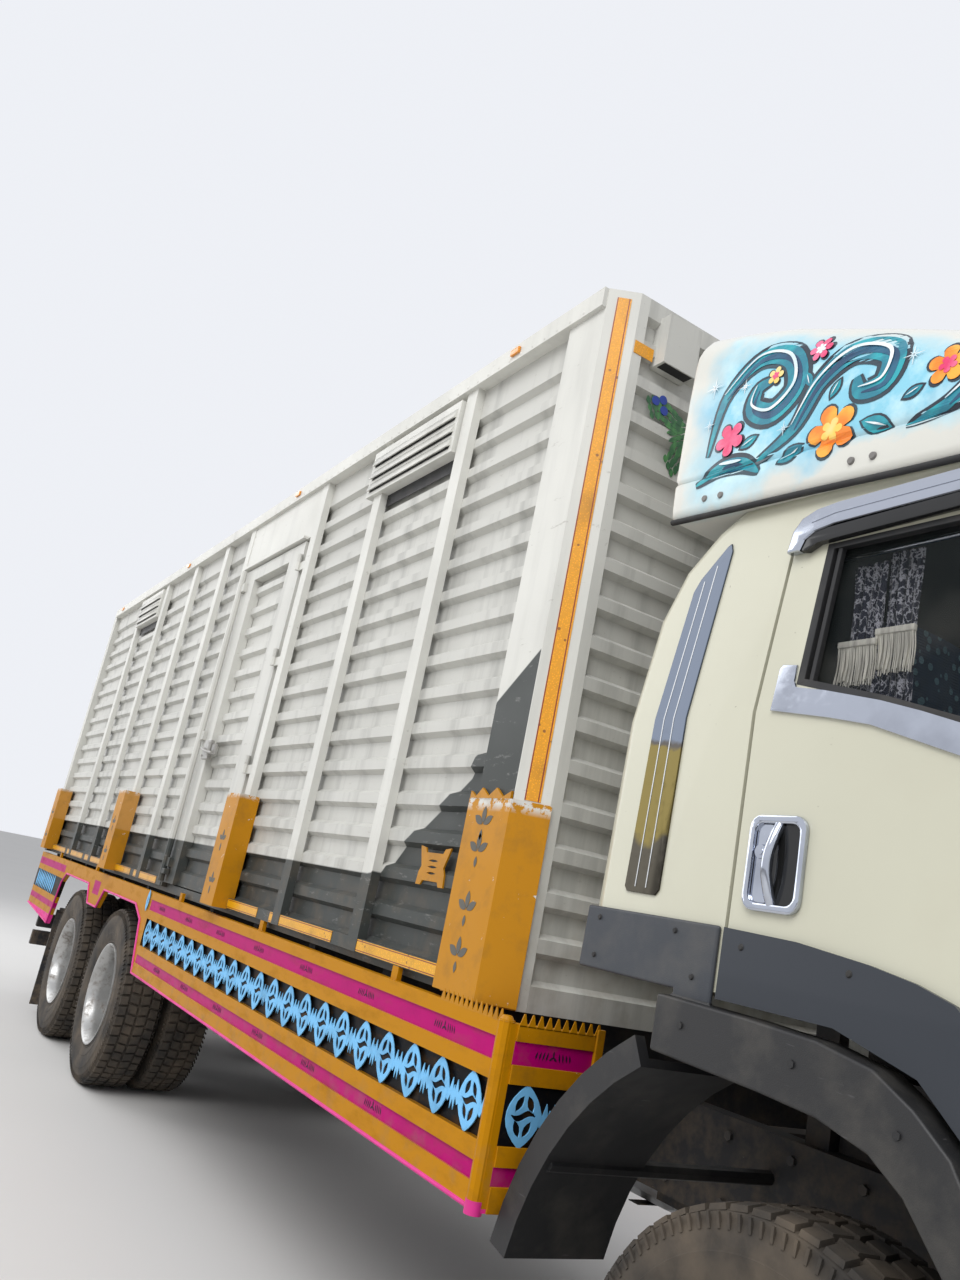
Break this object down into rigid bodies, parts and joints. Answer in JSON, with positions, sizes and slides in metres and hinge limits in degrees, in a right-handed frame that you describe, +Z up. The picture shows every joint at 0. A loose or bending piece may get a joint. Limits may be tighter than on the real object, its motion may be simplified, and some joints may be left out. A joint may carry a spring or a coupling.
{
  "type": "decorated box truck",
  "caption": "Rigid cab-over truck with a ribbed sheet-metal box body, side and rear doors, twin rear wheels, ornamental side guards and a tilting cab with a roof fairing.",
  "frame": {"origin": "on the ground, under the middle of the truck's overall length and width", "axes": "+X to the front of the truck, +Y to its left side, +Z up"},
  "size_m": [9.91, 2.96, 3.5],
  "materials": {
    "chassis": "satin",
    "tank": "satin",
    "cab_paint": "gloss",
    "glass": "clear",
    "chrome": "polished",
    "plastic": "matte",
    "seat_cloth": "woven",
    "box_paint": "satin",
    "guard_paint": "satin",
    "tyre": "matte",
    "rim_paint": "satin"
  },
  "bodies": {
    "chassis": {"chassis_frame": "chassis", "front_axle": "chassis", "rear_bogie": "chassis", "engine_block": "chassis", "propeller_shaft": "chassis", "fuel_tank": "tank", "battery_box": "chassis", "front_bumper": "cab_paint", "mudguard_right": "plastic", "mudguard_left": "plastic", "box_floor": "chassis", "side_wall_right": "box_paint", "side_wall_left": "box_paint", "front_wall": "box_paint", "box_roof": "box_paint", "rear_frame": "box_paint", "side_frame_right": "box_paint", "side_frame_left": "box_paint", "side_guard_right": "guard_paint", "side_guard_left": "guard_paint"},
    "cab": {"cab_shell": "cab_paint", "windscreen": "glass", "roof_fairing": "cab_paint", "front_grille": "chrome", "mirror_right": "plastic", "mirror_left": "plastic", "cab_seats": "seat_cloth", "dashboard": "plastic", "wheel_arch_right": "plastic", "wheel_arch_left": "plastic"},
    "cab_door_right": {"cab_door_right": "cab_paint", "door_glass_right": "glass"},
    "steering_right": {"knuckle_right": "chassis"},
    "front_wheel_right": {"front_tyre_right": "tyre", "front_rim_right": "rim_paint"},
    "rear_1_right_wheels": {"rear_1_right_rim": "rim_paint", "rear_1_right_outer_tyre": "tyre", "rear_1_right_inner_tyre": "tyre"},
    "rear_2_right_wheels": {"rear_2_right_rim": "rim_paint", "rear_2_right_outer_tyre": "tyre", "rear_2_right_inner_tyre": "tyre"},
    "rear_door_right": {"rear_door_right": "box_paint"},
    "cab_door_left": {"cab_door_left": "cab_paint", "door_glass_left": "glass"},
    "steering_left": {"knuckle_left": "chassis"},
    "front_wheel_left": {"front_tyre_left": "tyre", "front_rim_left": "rim_paint"},
    "rear_1_left_wheels": {"rear_1_left_rim": "rim_paint", "rear_1_left_outer_tyre": "tyre", "rear_1_left_inner_tyre": "tyre"},
    "rear_2_left_wheels": {"rear_2_left_rim": "rim_paint", "rear_2_left_outer_tyre": "tyre", "rear_2_left_inner_tyre": "tyre"},
    "rear_door_left": {"rear_door_left": "box_paint"},
    "side_door": {"side_door": "box_paint"}
  },
  "joints": [
    {"name": "cab_tilt", "type": "hinge", "parent": "chassis", "child": "cab", "pos_m": [4.825, 0, 0.955], "axis": [0, 1, 0], "range_deg": [0, 50]},
    {"name": "cab_door_right_swing", "type": "hinge", "parent": "cab", "child": "cab_door_right", "pos_m": [4.61, -1.2133, 1.76], "axis": [0, 0, 1], "range_deg": [0, 70]},
    {"name": "steer_right", "type": "hinge", "parent": "chassis", "child": "steering_right", "pos_m": [3.675, -0.9, 0.51557], "axis": [0, 0, 1], "range_deg": [-38, 38]},
    {"name": "front_wheel_right_spin", "type": "hinge", "parent": "steering_right", "child": "front_wheel_right", "pos_m": [3.675, -1.06, 0.51557], "axis": [0, 1, 0], "continuous": true},
    {"name": "rear_1_right_spin", "type": "hinge", "parent": "chassis", "child": "rear_1_right_wheels", "pos_m": [-1.675, -1.08, 0.51557], "axis": [0, 1, 0], "continuous": true},
    {"name": "rear_2_right_spin", "type": "hinge", "parent": "chassis", "child": "rear_2_right_wheels", "pos_m": [-3.045, -1.08, 0.51557], "axis": [0, 1, 0], "continuous": true},
    {"name": "rear_door_right_swing", "type": "hinge", "parent": "chassis", "child": "rear_door_right", "pos_m": [-4.9233, -1.112, 2.33], "axis": [0, 0, 1], "range_deg": [0, 175]},
    {"name": "cab_door_left_swing", "type": "hinge", "parent": "cab", "child": "cab_door_left", "pos_m": [4.61, 1.2133, 1.76], "axis": [0, 0, -1], "range_deg": [0, 70]},
    {"name": "steer_left", "type": "hinge", "parent": "chassis", "child": "steering_left", "pos_m": [3.675, 0.9, 0.51557], "axis": [0, 0, 1], "range_deg": [-38, 38]},
    {"name": "front_wheel_left_spin", "type": "hinge", "parent": "steering_left", "child": "front_wheel_left", "pos_m": [3.675, 1.06, 0.51557], "axis": [0, 1, 0], "continuous": true},
    {"name": "rear_1_left_spin", "type": "hinge", "parent": "chassis", "child": "rear_1_left_wheels", "pos_m": [-1.675, 1.08, 0.51557], "axis": [0, 1, 0], "continuous": true},
    {"name": "rear_2_left_spin", "type": "hinge", "parent": "chassis", "child": "rear_2_left_wheels", "pos_m": [-3.045, 1.08, 0.51557], "axis": [0, 1, 0], "continuous": true},
    {"name": "rear_door_left_swing", "type": "hinge", "parent": "chassis", "child": "rear_door_left", "pos_m": [-4.9233, 1.112, 2.33], "axis": [0, 0, -1], "range_deg": [0, 175]},
    {"name": "side_door_swing", "type": "hinge", "parent": "chassis", "child": "side_door", "pos_m": [0.172, -1.2533, 2.48], "axis": [0, 0, 1], "range_deg": [0, 95]}
  ],
  "couplings": [
    {"joint": "steer_left", "follows": "steer_right", "ratio": 1}
  ]
}
